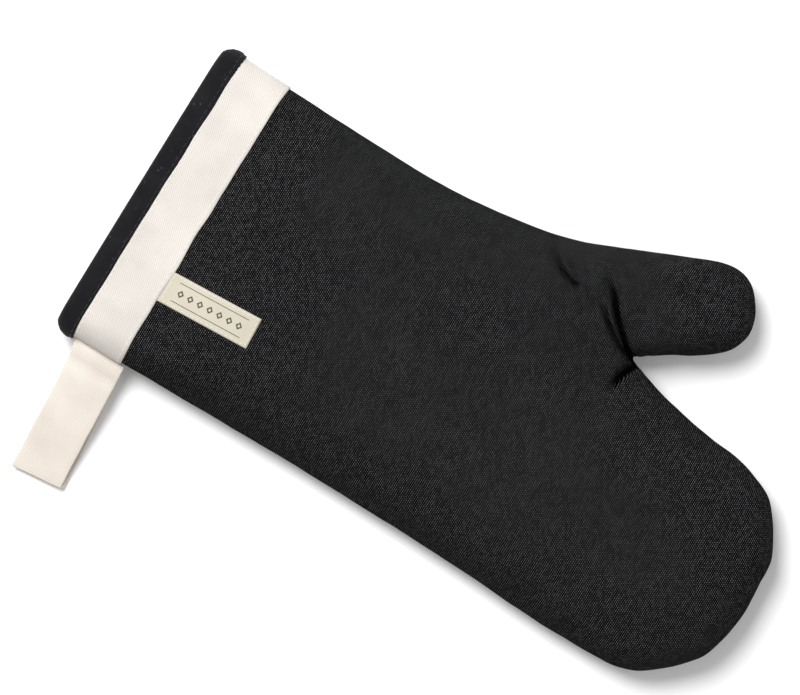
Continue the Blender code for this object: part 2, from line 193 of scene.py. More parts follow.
def mitt_outline():
    """An open line from the near cuff corner round the fingers and the thumb to the far one."""
    before = smooth_through(NEAR_SIDE + FINGERTIPS + FINGER_SIDE, STEP)
    after = smooth_through(THUMB_SIDE + THUMB_TIP + FAR_SIDE, STEP)
    arc = crotch_arc(12)
    before, near_corner = clip_to_cuff(before)
    after, far_corner = clip_to_cuff(after)
    return np.concatenate([near_corner, before, resample([before[-1], arc[0]], STEP)[1:-1], arc,
                           resample([arc[-1], after[0]], STEP)[1:-1], after, far_corner])


def outward_normals(line):
    tangent = np.gradient(line, axis=0)
    tangent[0] = (1.0, 0.0)
    tangent[-1] = (-1.0, 0.0)
    tangent /= np.linalg.norm(tangent, axis=1, keepdims=True)
    return np.stack([tangent[:, 1], -tangent[:, 0]], axis=1)


def distance_to_line(points, line):
    """Distance of each point to a polyline, how far along it the nearest place is, 0 to 1,
    and whether the point is on the line's left."""
    best = np.full(len(points), np.inf)
    along = np.zeros(len(points))
    left = np.zeros(len(points), bool)
    lengths = np.linalg.norm(np.diff(line, axis=0), axis=1)
    starts = np.concatenate(([0.0], np.cumsum(lengths)))
    for i in range(len(line) - 1):
        a, span = line[i], line[i + 1] - line[i]
        away = points - a
        t = np.clip((away @ span) / max(span @ span, 1e-18), 0.0, 1.0)
        gap = np.linalg.norm(away - t[:, None] * span, axis=1)
        nearer = gap < best
        best[nearer] = gap[nearer]
        along[nearer] = (starts[i] + t[nearer] * lengths[i]) / starts[-1]
        left[nearer] = (span[0] * away[:, 1] - span[1] * away[:, 0])[nearer] > 0.0
    return best, along, left


def crease_distance(points):
    return np.min([distance_to_line(points, np.array(crease[0]))[0] for crease in CREASES], axis=0)


def inside_polygon(points, polygon):
    inside = np.zeros(len(points), bool)
    x, y = points[:, 0], points[:, 1]
    for (xa, ya), (xb, yb) in zip(polygon, np.roll(polygon, -1, axis=0)):
        crosses = (ya > y) != (yb > y)
        if ya != yb:
            inside ^= crosses & (x < (xb - xa) * (y - ya) / (yb - ya) + xa)
    return inside


def smoothstep(t):
    t = np.clip(t, 0.0, 1.0)
    return t * t * (3 - 2 * t)


# ---- the pattern: a flat mesh of the mitt's outline ----
class Pattern:
    """A flat mesh in rings along the edge and a grid in the field.

    anchor, normal and angle say where a point goes on a layer at depth t: the rounded edge is
    a quarter ellipse from angle 0 at the seam to a right angle where the open field begins.
    """

    def __init__(self):
        line = mitt_outline()
        normal = outward_normals(line)
        self.line = line
        count = len(line)
        angles = np.arange(RINGS + 1) / RINGS * math.pi / 2
        self.inner = line - normal * RIM
        field, faces = self.fill_field()
        self.anchor = np.concatenate([np.tile(line, (RINGS + 1, 1)), field])
        self.normal = np.concatenate([np.tile(normal, (RINGS + 1, 1)), np.zeros_like(field)])
        self.angle = np.concatenate([np.repeat(angles, count), np.full(len(field), math.pi / 2)])
        ring_faces = [(k * count + i, k * count + i + 1, (k + 1) * count + i + 1, (k + 1) * count + i)
                      for k in range(RINGS) for i in range(count - 1)]
        shift = RINGS * count
        self.faces = ring_faces + [tuple(shift + v for v in face) for face in faces]
        self.on_seam = np.arange(len(self.anchor)) < count
        self.crown = self.solve_crown()
        self.flat = {half: self.unrolled(half) for half in ("upper", "lower")}
        self.shift = {half: np.zeros((len(self.anchor), 3)) for half in ("upper", "lower")}
        self.under_faces = self.faces
        self.under_count = len(self.anchor)

    def fill_field(self):
        """Field points and faces. The faces count the inner ring's points first."""
        ring = self.inner
        cuff = resample([ring[-1], ring[0]], GRID)[1:-1]
        border = np.concatenate([ring, cuff])
        lo, hi = border.min(axis=0), border.max(axis=0)
        points = grid_points(lo, hi, GRID)
        points = points[inside_polygon(points, border)]
        closed = np.concatenate([border, border[:1]])
        points = points[distance_to_line(points, closed)[0] > 0.55 * GRID]
        field = np.concatenate([cuff, points])
        everything = [Vector(p) for p in np.concatenate([ring, field])]
        loop = list(range(len(border)))
        edges = [(i, (i + 1) % len(loop)) for i in loop]
        verts, _, triangles, origin, _, _ = delaunay_2d_cdt(everything, edges, [loop], 1, 1e-7)
        assert len(verts) == len(everything), "the pattern's border crosses itself"
        back = [o[0] for o in origin]
        return field, join_pairs(everything, [tuple(back[v] for v in t) for t in triangles])

    def solve_crown(self):
        """How padded each point is, from 0 at the seam towards 1 far from every edge."""
        place = self.plan(0.0)
        a, b = edges_of(self.faces)
        pull = 1.0 / np.maximum(np.linalg.norm(place[a] - place[b], axis=1), 0.0004) ** 2
        total = np.bincount(a, pull, len(place)) + np.bincount(b, pull, len(place))
        want = 1.0 / CROWN_REACH**2
        crown = np.ones(len(place))
        crown[self.on_seam] = 0.0
        for _ in range(1500):
            near = (np.bincount(a, pull * crown[b], len(place))
                    + np.bincount(b, pull * crown[a], len(place)))
            crown = (near + want) / (total + want)
            crown[self.on_seam] = 0.0
        return crown

    def unrolled(self, half):
        """Where each point lies on the flat cloth, in metres."""
        height = SHOULDER if half == "upper" else SEAM_Z
        angles = np.linspace(0.0, math.pi / 2, 181)
        speed = np.hypot(RIM * np.sin(angles), height * np.cos(angles))
        travelled = np.concatenate(([0.0], np.cumsum((speed[1:] + speed[:-1]) / 2 * np.diff(angles))))
        left = travelled[-1] - np.interp(self.angle, angles, travelled)
        return self.anchor - self.normal * RIM + self.normal * left[:, None]

    def plan(self, depth):
        """Places seen from above, on the layer that lies depth below the outer surface."""
        inset = depth + (RIM - depth) * (1 - np.cos(self.angle))
        return self.anchor - self.normal * inset[:, None]

    def lifted(self, half, depth):
        place = self.plan(depth)
        if half == "upper":
            z = SEAM_Z + np.sin(self.angle) * (upper_height(place[:, 0], self.crown) - depth)
        else:
            z = SEAM_Z - np.sin(self.angle) * (lower_height(place[:, 0]) - depth)
        return np.column_stack([place, z])

    def refine(self, reach):
        """Splits the faces near a crease in four. New points take the mean of those around."""
        near = crease_distance(self.plan(0.0)) < reach
        chosen = [near[list(f)].any() and not self.on_seam[list(f)].any() for f in self.faces]
        first = len(self.anchor)
        parents = []
        middle = {}
        for face in (f for f, split in zip(self.faces, chosen) if split):
            for a, b in zip(face, face[1:] + face[:1]):
                if (a, b) not in middle:
                    middle[(a, b)] = middle[(b, a)] = first + len(parents)
                    parents.append((a, b))
        faces = []
        for face, split in zip(self.faces, chosen):
            sides = [middle.get(side) for side in zip(face, face[1:] + face[:1])]
            if split:
                centre = first + len(parents)
                parents.append(face)
                faces += [(v, sides[i], centre, sides[i - 1]) for i, v in enumerate(face)]
            else:
                faces.append(tuple(v for pair in zip(face, sides) for v in pair if v is not None))
        self.faces = faces
        self.spread(parents)

    def spread(self, parents):
        """Extends everything known about the points to new ones between their parents."""
        def longer(values):
            return np.concatenate([values, [values[list(p)].mean(axis=0) for p in parents]])

        self.anchor = longer(self.anchor)
        self.angle = longer(self.angle)
        self.normal = longer(self.normal)
        on_rim = self.angle < math.pi / 2 - 1e-6
        self.normal[on_rim] /= np.linalg.norm(self.normal[on_rim], axis=1, keepdims=True)
        self.crown = longer(self.crown)
        self.on_seam = np.concatenate([self.on_seam, np.zeros(len(parents), bool)])
        self.flat = {half: longer(values) for half, values in self.flat.items()}
        self.shift = {half: longer(values) for half, values in self.shift.items()}


def grid_points(lo, hi, spacing):
    xs = np.arange(math.floor(lo[0] / spacing), math.ceil(hi[0] / spacing) + 1) * spacing
    ys = np.arange(math.floor(lo[1] / spacing), math.ceil(hi[1] / spacing) + 1) * spacing
    return np.stack(np.meshgrid(xs, ys), axis=-1).reshape(-1, 2)


def join_pairs(points, triangles):
    """The triangles, joined in pairs to quads where that makes a good one."""
    work = bmesh.new()
    verts = [work.verts.new((p[0], p[1], 0.0)) for p in points]
    for triangle in triangles:
        work.faces.new([verts[v] for v in triangle])
    work.verts.index_update()
    bmesh.ops.join_triangles(work, faces=work.faces, angle_face_threshold=0.1,
                             angle_shape_threshold=math.radians(50))
    bmesh.ops.recalc_face_normals(work, faces=work.faces)
    joined = []
    for face in work.faces:
        loop = [v.index for v in face.verts]
        joined.append(tuple(loop if face.normal.z > 0 else reversed(loop)))
    work.free()
    return joined


def upper_height(x, crown):
    taper = 1.0 - 0.20 * smoothstep((-0.095 - x) / 0.075)
    return (SHOULDER + CROWN * crown) * taper


def lower_height(x):
    return SEAM_Z - TABLE_GAP - CUFF_LIFT * smoothstep((-0.110 - x) / 0.050)


# ---- the skins: outer fabric, wadding and lining as arrays of points ----
CAP = 0.0035                    # the furthest that the simulation may move a point
SQUEEZE = 0.0014                # how much a crease flattens the wadding under it
FOLD_SHADE_DEPTH = 0.0030              # depth in a fold at which the painted shade in its cloth's colour is full
FABRIC = 0.0009                 # thickness of the outer fabric
# How deep below the outer surface each layer's outer and inner faces lie.
DEPTHS = {"outer": 0.0, "wadding": 0.0011, "under_wadding": 0.0053, "lining": 0.0056, "inside": WALL}
PUCKER = (0.00035, 0.00030, 0.00016)  # unevenness of the edge's first three rings
SEAM_DRAW = 0.00015             # how far the seam pulls the edge in everywhere


class Skin:
    """One closed-up surface: the upper half, then the lower half, welded along the seam."""

    def __init__(self, pattern, depth):
        self.pattern = pattern
        self.depth = depth
        share = 1.0 - 0.5 * min(depth / WALL, 1.0)
        self.upper = pattern.lifted("upper", depth) + pattern.shift["upper"] * share
        self.lower = (pattern.lifted("lower", depth) + pattern.shift["lower"] * share)[:pattern.under_count]
        self.lower[:, 2] = np.maximum(self.lower[:, 2], TABLE_GAP + depth)

    def mesh_arrays(self):
        """Points, faces and the flat cloth's coordinates at each face corner."""
        pattern = self.pattern
        seam = int(pattern.on_seam.sum())
        count = len(self.upper)
        verts = np.concatenate([self.upper, self.lower[seam:]])
        under = [v if v < seam else v + count - seam for v in range(pattern.under_count)]
        faces = list(pattern.faces)
        faces += [tuple(under[v] for v in reversed(f)) for f in pattern.under_faces]
        flat = [pattern.flat["upper"][v] for f in pattern.faces for v in f]
        flat += [pattern.flat["lower"][v] for f in pattern.under_faces for v in reversed(f)]
        return verts, faces, np.array(flat)


def new_mesh(name, verts, faces):
    mesh = bpy.data.meshes.new(name)
    mesh.from_pydata([tuple(v) for v in verts], [], [tuple(f) for f in faces])
    mesh.update()
    return mesh


def new_object(name, mesh):
    obj = bpy.data.objects.new(name, mesh)
    bpy.context.scene.collection.objects.link(obj)
    return obj


def read(items, name, width=1, kind=np.float32):
    """One property of every item of a mesh, with a row for each where it has several numbers."""
    values = np.empty(len(items) * width, kind)
    items.foreach_get(name, values)
    return values.reshape(-1, width) if width > 1 else values


def points_of(mesh):
    return read(mesh.vertices, "co", 3).astype(float)


def cloth_mesh(name, verts, faces, material, corners=None):
    """A smooth shaded mesh, with the flat cloth's coordinates at each face corner."""
    mesh = new_mesh(name, verts, faces)
    if corners is not None:
        layer = mesh.uv_layers.new(name="cloth")
        layer.data.foreach_set("uv", np.array([c for face in corners for c in face]).ravel())
    mesh.polygons.foreach_set("use_smooth", [True] * len(mesh.polygons))
    mesh.materials.append(material)
    return mesh


def turn_outwards(mesh):
    work = bmesh.new()
    work.from_mesh(mesh)
    bmesh.ops.recalc_face_normals(work, faces=work.faces)
    work.to_mesh(mesh)
    work.free()


def edges_of(faces):
    """The two ends of every edge, as two arrays."""
    return np.array(sorted({tuple(sorted(side)) for f in faces for side in zip(f, f[1:] + f[:1])})).T


def carried(obj, body, node):
    """A piece that moves with one body, and the CAD node that it stands for."""
    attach(obj, body)
    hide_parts(node)


def evaluated_points(obj):
    graph = bpy.context.evaluated_depsgraph_get()
    shown = obj.evaluated_get(graph)
    mesh = shown.to_mesh()
    co = points_of(mesh)
    shown.to_mesh_clear()
    return co


def simulate_skin(verts, faces, held):
    """The cloth blown up against its own stitching: where each point moves to."""
    obj = new_object("simulated_skin", new_mesh("simulated_skin", verts, faces))
    group = obj.vertex_groups.new(name="held")
    group.add([int(i) for i in np.flatnonzero(held)], 1.0, "REPLACE")
    cloth = obj.modifiers.new("cloth", "CLOTH")
    settings = cloth.settings
    settings.quality = 4
    settings.mass = 0.35
    settings.tension_stiffness = 14
    settings.compression_stiffness = 14
    settings.shear_stiffness = 6
    settings.bending_stiffness = 0.6
    settings.tension_damping = 12
    settings.compression_damping = 12
    settings.use_pressure = True
    settings.uniform_pressure_force = 4.0
    settings.shrink_min = -0.012
    settings.vertex_group_mass = "held"
    settings.effector_weights.gravity = 0.0
    cloth.collision_settings.use_collision = False
    for step in range(1, 21):
        bpy.context.scene.frame_set(step)
    moved = evaluated_points(obj)
    bpy.data.objects.remove(obj)
    bpy.context.scene.frame_set(1)
    return moved


def smoothed(values, faces, rounds, held):
    """Values eased towards their neighbours' mean, except where held."""
    a, b = edges_of(faces)
    degree = (np.bincount(a, minlength=len(values)) + np.bincount(b, minlength=len(values)))[:, None]
    for _ in range(rounds):
        total = np.zeros_like(values)
        np.add.at(total, a, values[b])
        np.add.at(total, b, values[a])
        eased = 0.5 * values + 0.5 * total / degree
        values = np.where(held[:, None], values, eased)
    return values


def capped(shift, limit):
    size = np.linalg.norm(shift, axis=1, keepdims=True)
    return shift * (limit * np.tanh(size / limit) / np.maximum(size, 1e-9))


def settle(pattern):
    """Simulates the outermost skin; every layer then follows how far its points move."""
    outer = Skin(pattern, 0.0)
    verts, faces, _ = outer.mesh_arrays()
    seam = int(pattern.on_seam.sum())
    count = len(outer.upper)
    held = verts[:, 0] < BAND_X1 + 0.006
    held[:seam] = True
    moved = simulate_skin(verts, faces, held)
    shift = smoothed(capped(moved - verts, CAP), faces, 3, held)
    pattern.shift = {"upper": shift[:count], "lower": np.concatenate([shift[:seam], shift[count:]])}


def crease_profile(plan):
    """Depth below the folds' edges at each point, and height of the ridges beside them."""
    valley = np.zeros(len(plan))
    ridges = np.zeros(len(plan))
    for points, depth, left_width, right_width, ridge in CREASES:
        gap, along, left = distance_to_line(plan, smooth_through(points, 0.0006))
        width = np.where(left, left_width, right_width)
        width = np.where((along <= 0.0) | (along >= 1.0), min(left_width, right_width), width)
        strength = depth * (1.0 - smoothstep((along - 0.55) / 0.45))
        valley = np.maximum(valley, strength * np.exp(-(gap / width) ** 2))
        crest = 1.2 * width + 0.0010
        ridges = np.maximum(ridges, strength * ridge * np.exp(-((gap - 1.9 * crest) / crest) ** 2))
    return valley, ridges


def crease_relief(plan):
    """How far each point of the upper side sinks, in folds and in broad hollows."""
    valley, ridges = crease_profile(plan)
    relief = valley - ridges * (1.0 - smoothstep(valley / 0.0012))
    for centre, degrees, half_length, half_width, depth in HOLLOWS:
        away = plan - np.array(centre)
        d = np.array(tuple(direction(degrees)))
        along, across = away @ d, away @ np.array((-d[1], d[0]))
        relief += depth * np.exp(-(along / half_length) ** 2 - (across / half_width) ** 2)
    return relief


def paint_fold_shade(obj):
    """Records on each point how deep in a fold it is, as painted shade: the cloth's colour is darkened
    there.
    """
    places = points_of(obj.data)
    amount = np.clip(crease_profile(places[:, :2])[0] / FOLD_SHADE_DEPTH, 0.0, 1.0)
    amount *= places[:, 2] > SEAM_Z
    obj.data.attributes.new("fold", "FLOAT", "POINT").data.foreach_set("value", amount)


def point_normals(verts, faces):
    mesh = new_mesh("scratch", verts, faces)
    normals = read(mesh.vertices, "normal", 3).astype(float)
    bpy.data.meshes.remove(mesh)
    return normals


def carve(skins):
    """Folds and soft hollows. The wadding's outer face goes in further where a fold is deep."""
    outer = skins["outer"]
    verts, faces, _ = outer.mesh_arrays()
    normals = point_normals(verts, faces)[:len(outer.upper)]
    relief = crease_relief(outer.upper[:, :2])
    relief *= smoothstep(outer.pattern.angle / 0.5)
    for skin in skins.values():
        skin.upper -= normals * relief[:, None]
    squeezed = SQUEEZE * smoothstep((np.abs(relief) - 0.0003) / 0.0010)
    skins["wadding"].upper -= normals * squeezed[:, None]


def pucker(skins):
    """The seam draws the edge in a little, unevenly, everywhere but at the cuff's tape."""
    pattern = skins["outer"].pattern
    seam = int(pattern.on_seam.sum())
    quiet = smoothstep((pattern.line[:, 0] - BAND_X1) / 0.01)
    for ring, size in enumerate(PUCKER):
        rows = slice(ring * seam, (ring + 1) * seam)
        draw = np.array([0.6 * noise.noise((x * 160, y * 160, 0.5 * ring))
                         + 0.5 * noise.noise((x * 60, y * 60, 7.0)) for x, y in pattern.line])
        amount = (size * draw + (SEAM_DRAW if ring == 0 else 0.0)) * quiet
        for skin in skins.values():
            for half in (skin.upper, skin.lower):
                half[rows, :2] -= pattern.normal[rows] * amount[:, None]


# ---- from skins to pieces ----
def split_side(points):
    """True on the thumb's side of the fold line."""
    away = points[:, :2] - np.array(tuple(CROTCH))
    return away @ np.array(tuple(THUMB_OUT)) > 0.0


class Surface(NamedTuple):
    points: np.ndarray
    normals: np.ndarray
    faces: list
    corners: list               # the flat cloth's coordinates at each face's corners


def refined(name, verts, faces, flat, levels):
    """The surface subdivided, if there are levels."""
    obj = new_object(name, new_mesh(name, verts, faces))
    layer = obj.data.uv_layers.new(name="cloth")
    layer.data.foreach_set("uv", flat.ravel().astype(np.float32))
    if levels:
        smooth = obj.modifiers.new("subdivide", "SUBSURF")
        smooth.levels = levels
        smooth.boundary_smooth = "PRESERVE_CORNERS"
        smooth.uv_smooth = "PRESERVE_BOUNDARIES"
    graph = bpy.context.evaluated_depsgraph_get()
    mesh = bpy.data.meshes.new_from_object(obj.evaluated_get(graph))
    bpy.data.objects.remove(obj)
    loops = read(mesh.loops, "vertex_index", kind=np.int32)
    starts = read(mesh.polygons, "loop_start", kind=np.int32)
    uv = read(mesh.uv_layers["cloth"].data, "uv", 2)
    surface = Surface(
        points=points_of(mesh), normals=read(mesh.vertices, "normal", 3).astype(float),
        faces=np.split(loops, starts[1:]), corners=np.split(uv, starts[1:]))
    bpy.data.meshes.remove(mesh)
    return surface


def shell_piece(name, surface, beneath, chosen, material):
    """The chosen faces of a surface, joined round their border to the points beneath them."""
    picked = np.flatnonzero(chosen)
    used = np.unique(np.concatenate([surface.faces[i] for i in picked]))
    renumber = np.full(len(surface.points), -1)
    renumber[used] = np.arange(len(used))
    count = len(used)
    outside = [tuple(renumber[surface.faces[i]].tolist()) for i in picked]
    corners = [surface.corners[i].tolist() for i in picked]
    sides = {}
    for face, at in zip(outside, corners):
        sides.update(zip(zip(face, face[1:] + face[:1]), zip(at, at[1:] + at[:1])))
    border = [(a, b, at) for (a, b), at in sides.items() if (b, a) not in sides]
    inside = [tuple(v + count for v in reversed(face)) for face in outside]
    walls = [(b, a, a + count, b + count) for a, b, _ in border]
    corners += [at[::-1] for at in corners]
    corners += [[at[1], at[0], at[0], at[1]] for _, _, at in border]
    verts = np.concatenate([surface.points[used], beneath[used]])
    mesh = cloth_mesh(name, verts, outside + inside + walls, material, corners)
    shading = np.concatenate([surface.normals[used], -surface.normals[used]])
    mesh.normals_split_custom_set_from_vertices([tuple(n) for n in shading])
    return new_object(name, mesh)


def face_centres(surface):
    return np.array([surface.points[face].mean(axis=0) for face in surface.faces])


def bend_with_fingers(obj):
    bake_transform(obj)


def bend_with_thumb(obj):
    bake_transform(obj)


def outer_surface(skin):
    """The outer fabric's face, subdivided, and the points of its inner side."""
    surface = refined("outer", *skin.mesh_arrays(), 1)
    return surface, surface.points - surface.normals * FABRIC


def layer_surface(name, skin, inner_skin):
    return refined(name, *skin.mesh_arrays(), 0), inner_skin.mesh_arrays()[0]


def layer_pieces(layer, surface, beneath, material, slot):
    """One layer of the wall as its two pieces: the hand with the fingers, and the thumb."""
    thumb = split_side(face_centres(surface)) & off_fingers(face_centres(surface))
    for part, chosen, bend in (("palm", ~thumb, bend_with_fingers), ("thumb", thumb, bend_with_thumb)):
        obj = shell_piece(f"{layer}_{part}_cover", surface, beneath, chosen, material)
        if layer == "outer":
            # painted shade: the outer cloth's colour darkens deep in its folds
            paint_fold_shade(obj)
        bend(obj)
        bodies = ("hand", "fingers") if part == "palm" else ("thumb",)
        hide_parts(*(f"{layer}_{side}_{body}" for side in ("upper", "lower") for body in bodies))


def off_fingers(points):
    """False for what lies beyond the crotch on the fingers' side of the notch."""
    away = points[:, :2] - np.array(tuple(CROTCH))
    opening = np.array(tuple(direction(CROTCH_OPENS_DEG)))
    return (away @ opening < 0.0) | (away @ np.array((-opening[1], opening[0])) > 0.0)


# ---- the cuff: tape, binding, and what is sewn to them ----
CORNER_RADIUS = 0.0057          # the cuff's corners seen from above
BINDING_PROUD = 0.0013          # how far the binding stands off the fabric
BINDING_PROUD_SIDE = 0.0026     # and at the mitt's two sides
BINDING_LUMPS = 0.00014         # how uneven its folded cloth is
BINDING_STRAY = 0.00036         # how far its sewn edge strays from a straight line
BINDING_SKEW = 0.00070          # how much wider it is on the thumb's side
TAPE_THICK = 0.0009
TAPE_RIPPLE = 0.00052           # how uneven its face is
TAPE_STRAY = 0.00075            # how far its edges stray from a straight line
TAPE_STEPS = 150                # points in each half of the way round
# From the tape's middle to its edge: share of the half width, and share of the thickness.
TAPE_PROFILE = ((0.2, 1.0), (0.6, 1.05), (0.84, 0.97), (0.90, 1.0), (0.97, 0.86), (0.995, 0.55), (1.0, 0.02))
SEWN_IN = 0.0017                # from the tape's edges to its rows of stitches
BINDING_SEWN_IN = 0.0016
RING_STEPS = 170                # points in each half of the way round the binding or a stitch row
DROP_FROM = 0.004               # how far off the cloth a stitch's place is looked for
# A stitch's length, the gap to the next, the thread's radius and how far it strays sideways.
TAPE_STITCH = (0.0026, 0.0007, 0.00018, 0.00008)
BINDING_STITCH = (0.0028, 0.0009, 0.00026, 0.00008)
# Along a stitch: share of its length, height above the cloth and girth, both in thread radii.
STITCH_SHAPE = (
    (0.0, -0.9, 0.55), (0.14, 0.15, 0.95), (0.5, 0.42, 1.0), (0.86, 0.15, 0.95), (1.0, -0.9, 0.55))


class Cuff:
    """Finds places on the mitt's outer surface from a station x and a share of the way round."""

    def __init__(self, pattern, skin):
        self.line = pattern.line
        verts, faces, _ = skin.mesh_arrays()
        self.tree = BVHTree.FromPolygons([tuple(v) for v in verts], faces)

    def sides(self, x):
        near = self.line[(self.line[:, 1] < 0) & (self.line[:, 0] < 0.0)]
        far = self.line[(self.line[:, 1] > 0) & (self.line[:, 0] < 0.0)][::-1]
        return np.interp(x, near[:, 0], near[:, 1]), np.interp(x, far[:, 0], far[:, 1])

    def section(self, x, steps, half):
        """Points and outward normals from the near seam to the far one, evenly spaced."""
        near, far = self.sides(x)
        up = 1.0 if half == "upper" else -1.0
        height = upper_height(x, 0.5) if half == "upper" else lower_height(x)
        angles = np.linspace(0.0, math.pi / 2, 16)
        rim = np.stack([RIM * (1 - np.cos(angles)), height * np.sin(angles)], axis=1)
        path = [(near + r, z) for r, z in rim] + [(far - r, z) for r, z in rim[::-1]]
        path = resample(path, run_lengths(path)[-1] / (steps - 1))
        points, normals = [], []
        for y, z in path:
            at = Vector((max(x, RAW_X + 0.0002), y, SEAM_Z + up * z))
            spot, normal, _, _ = self.tree.find_nearest(at)
            points.append((x, spot.y, spot.z))
            normals.append(tuple(Vector((0.0, normal.y, normal.z)).normalized()))
        points, normals = np.array(points), np.array(normals)
        points[0, 1], points[-1, 1] = near, far
        points[[0, -1], 2] = SEAM_Z
        normals[0] = (0.0, -1.0, 0.0)
        normals[-1] = (0.0, 1.0, 0.0)
        return points, normals

    def ring(self, x, steps):
        """The whole way round: over the top from the near seam and back underneath."""
        over = self.section(x, steps, "upper")
        under = self.section(x, steps, "lower")
        return tuple(np.concatenate([a, b[-2:0:-1]]) for a, b in zip(over, under))


def round_corners(points, cuff):
    """Draws the cuff's edge back near the two sides, so that its corners are round in plan."""
    near, far = cuff.sides(RAW_X)
    near, far = near - BINDING_PROUD_SIDE, far + BINDING_PROUD_SIDE
    inside = np.minimum(points[:, 1] - near, far - points[:, 1])
    short = np.clip(CORNER_RADIUS - inside, 0.0, CORNER_RADIUS)
    drawn = CORNER_RADIUS - np.sqrt(np.maximum(CORNER_RADIUS**2 - short**2, 0.0))
    share = 1.0 - drawn / (BINDING_X - CUFF_X)
    points = points.copy()
    edge = points[:, 0] < BINDING_X
    points[edge, 0] = BINDING_X + (points[edge, 0] - BINDING_X) * share[edge]
    return points


def closed_strip(name, rows, closed_along, material, flat):
    """A solid from rows of the same closed profile; open runs get flat ends."""
    count, size = len(rows), len(rows[0])
    verts = np.concatenate(rows)
    faces, corners = [], []
    for i in range(count if closed_along else count - 1):
        j = (i + 1) % count
        for k in range(size):
            n = (k + 1) % size
            faces.append((i * size + k, i * size + n, j * size + n, j * size + k))
            u0, u1 = flat[0][i], flat[0][i + 1]
            v0, v1 = flat[1][k], flat[1][k + 1]
            corners.append(((u0, v0), (u0, v1), (u1, v1), (u1, v0)))
    if not closed_along:
        for i, order in ((0, range(size - 1, -1, -1)), (count - 1, range(size))):
            faces.append(tuple(i * size + k for k in order))
            corners.append([(flat[0][i], flat[1][k]) for k in order])
    mesh = cloth_mesh(name, verts, faces, material, corners)
    turn_outwards(mesh)
    return new_object(name, mesh)


def build_tape(cuff, half, material):
    """The band's upper or lower strip: woven tape with soft selvedges, lying on the fabric."""
    half_width = (BAND_X1 - BAND_X0) / 2
    middle = (BAND_X0 + BAND_X1) / 2
    across = [(-s, share) for s, share in TAPE_PROFILE[::-1]] + list(TAPE_PROFILE)
    stations = [cuff.section(middle + s * half_width, TAPE_STEPS, half) for s, _ in across]
    rows = []
    for i in range(TAPE_STEPS):
        y = stations[0][0][i][1]
        over, under = [], []
        for (s, share), (points, normals) in zip(across, stations):
            point, normal = points[i].copy(), normals[i]
            wave = TAPE_RIPPLE * noise.noise((y * 140, s * 1.5, 3.0)) * (1.0 - abs(s))
            point[0] += TAPE_STRAY * noise.noise((y * 60, 9.0 * np.sign(s), 1.0)) * abs(s)
            over.append(point + normal * (0.00008 + TAPE_THICK * share + wave))
            under.append(point + normal * 0.00006)
        rows.append(np.array(over + under[::-1]))
    along = run_lengths([r[7] for r in rows])
    profile = [middle + s * half_width for s, _ in across]
    flat = (along, profile + profile[::-1] + profile[:1])
    tape = closed_strip(f"woven_tape_{half}", rows, False, material, flat)
    carried(tape, "hand", f"cuff_tape_{half}")
    return tape


def binding_profile():
    """The folded strip's outer face and back along its inner one, as (share of width, offset)."""
    proud, wall = BINDING_PROUD, WALL
    return (
        (0.000, 0.00008), (0.012, 0.62 * proud), (0.06, 0.94 * proud), (0.13, 0.86 * proud),
        (0.20, 0.84 * proud), (0.32, 0.98 * proud), (0.50, 1.02 * proud), (0.70, 1.00 * proud),
        (0.84, 0.72 * proud), (0.93, 0.05 * proud), (0.982, -0.22 * wall), (1.000, -0.50 * wall),
        (0.982, -0.78 * wall), (0.93, -wall - 0.05 * proud), (0.84, -wall - 0.60 * proud),
        (0.60, -wall - 0.85 * proud), (0.30, -wall - 0.80 * proud), (0.06, -wall - 0.75 * proud),
        (0.000, -wall - 0.0001), (0.40, -wall - 0.00005), (0.858, -wall), (0.862, -0.5 * wall),
        (0.858, 0.00002), (0.40, 0.00004))


def build_binding(cuff, material):
    profile = binding_profile()
    width = BINDING_X - CUFF_X
    stations = [cuff.ring(BINDING_X - share * width, RING_STEPS) for share, _ in profile]
    rows = []
    for i in range(len(stations[0][0])):
        row = []
        y, z = stations[0][0][i][1:]
        at_side = abs(stations[0][1][i][1]) ** 4
        for (share, offset), (points, normals) in zip(profile, stations):
            point, normal = points[i].copy(), normals[i]
            lumps = noise.noise((y * 120, z * 120, share * 2.0))
            lumps += 0.6 * noise.noise((y * 330, z * 330, share))
            swell = max(offset, 0.0) / BINDING_PROUD
            extra = (BINDING_PROUD_SIDE - BINDING_PROUD) * at_side + BINDING_LUMPS * lumps
            stray = BINDING_STRAY * noise.noise((y * 70, z * 70, 5.0))
            stray += BINDING_SKEW * smoothstep((y + 0.02) / 0.10)
            point[0] += stray * (1.0 - share)
            row.append(point + normal * (offset + swell * extra))
        rows.append(round_corners(np.array(row), cuff))
    along = run_lengths([r[4] for r in rows], closed=True)
    section = run_lengths([(share * width, offset) for share, offset in profile], closed=True)
    binding = closed_strip("bound_edge", rows, True, material, (along, section))
    carried(binding, "hand", "cuff_binding")
    return binding


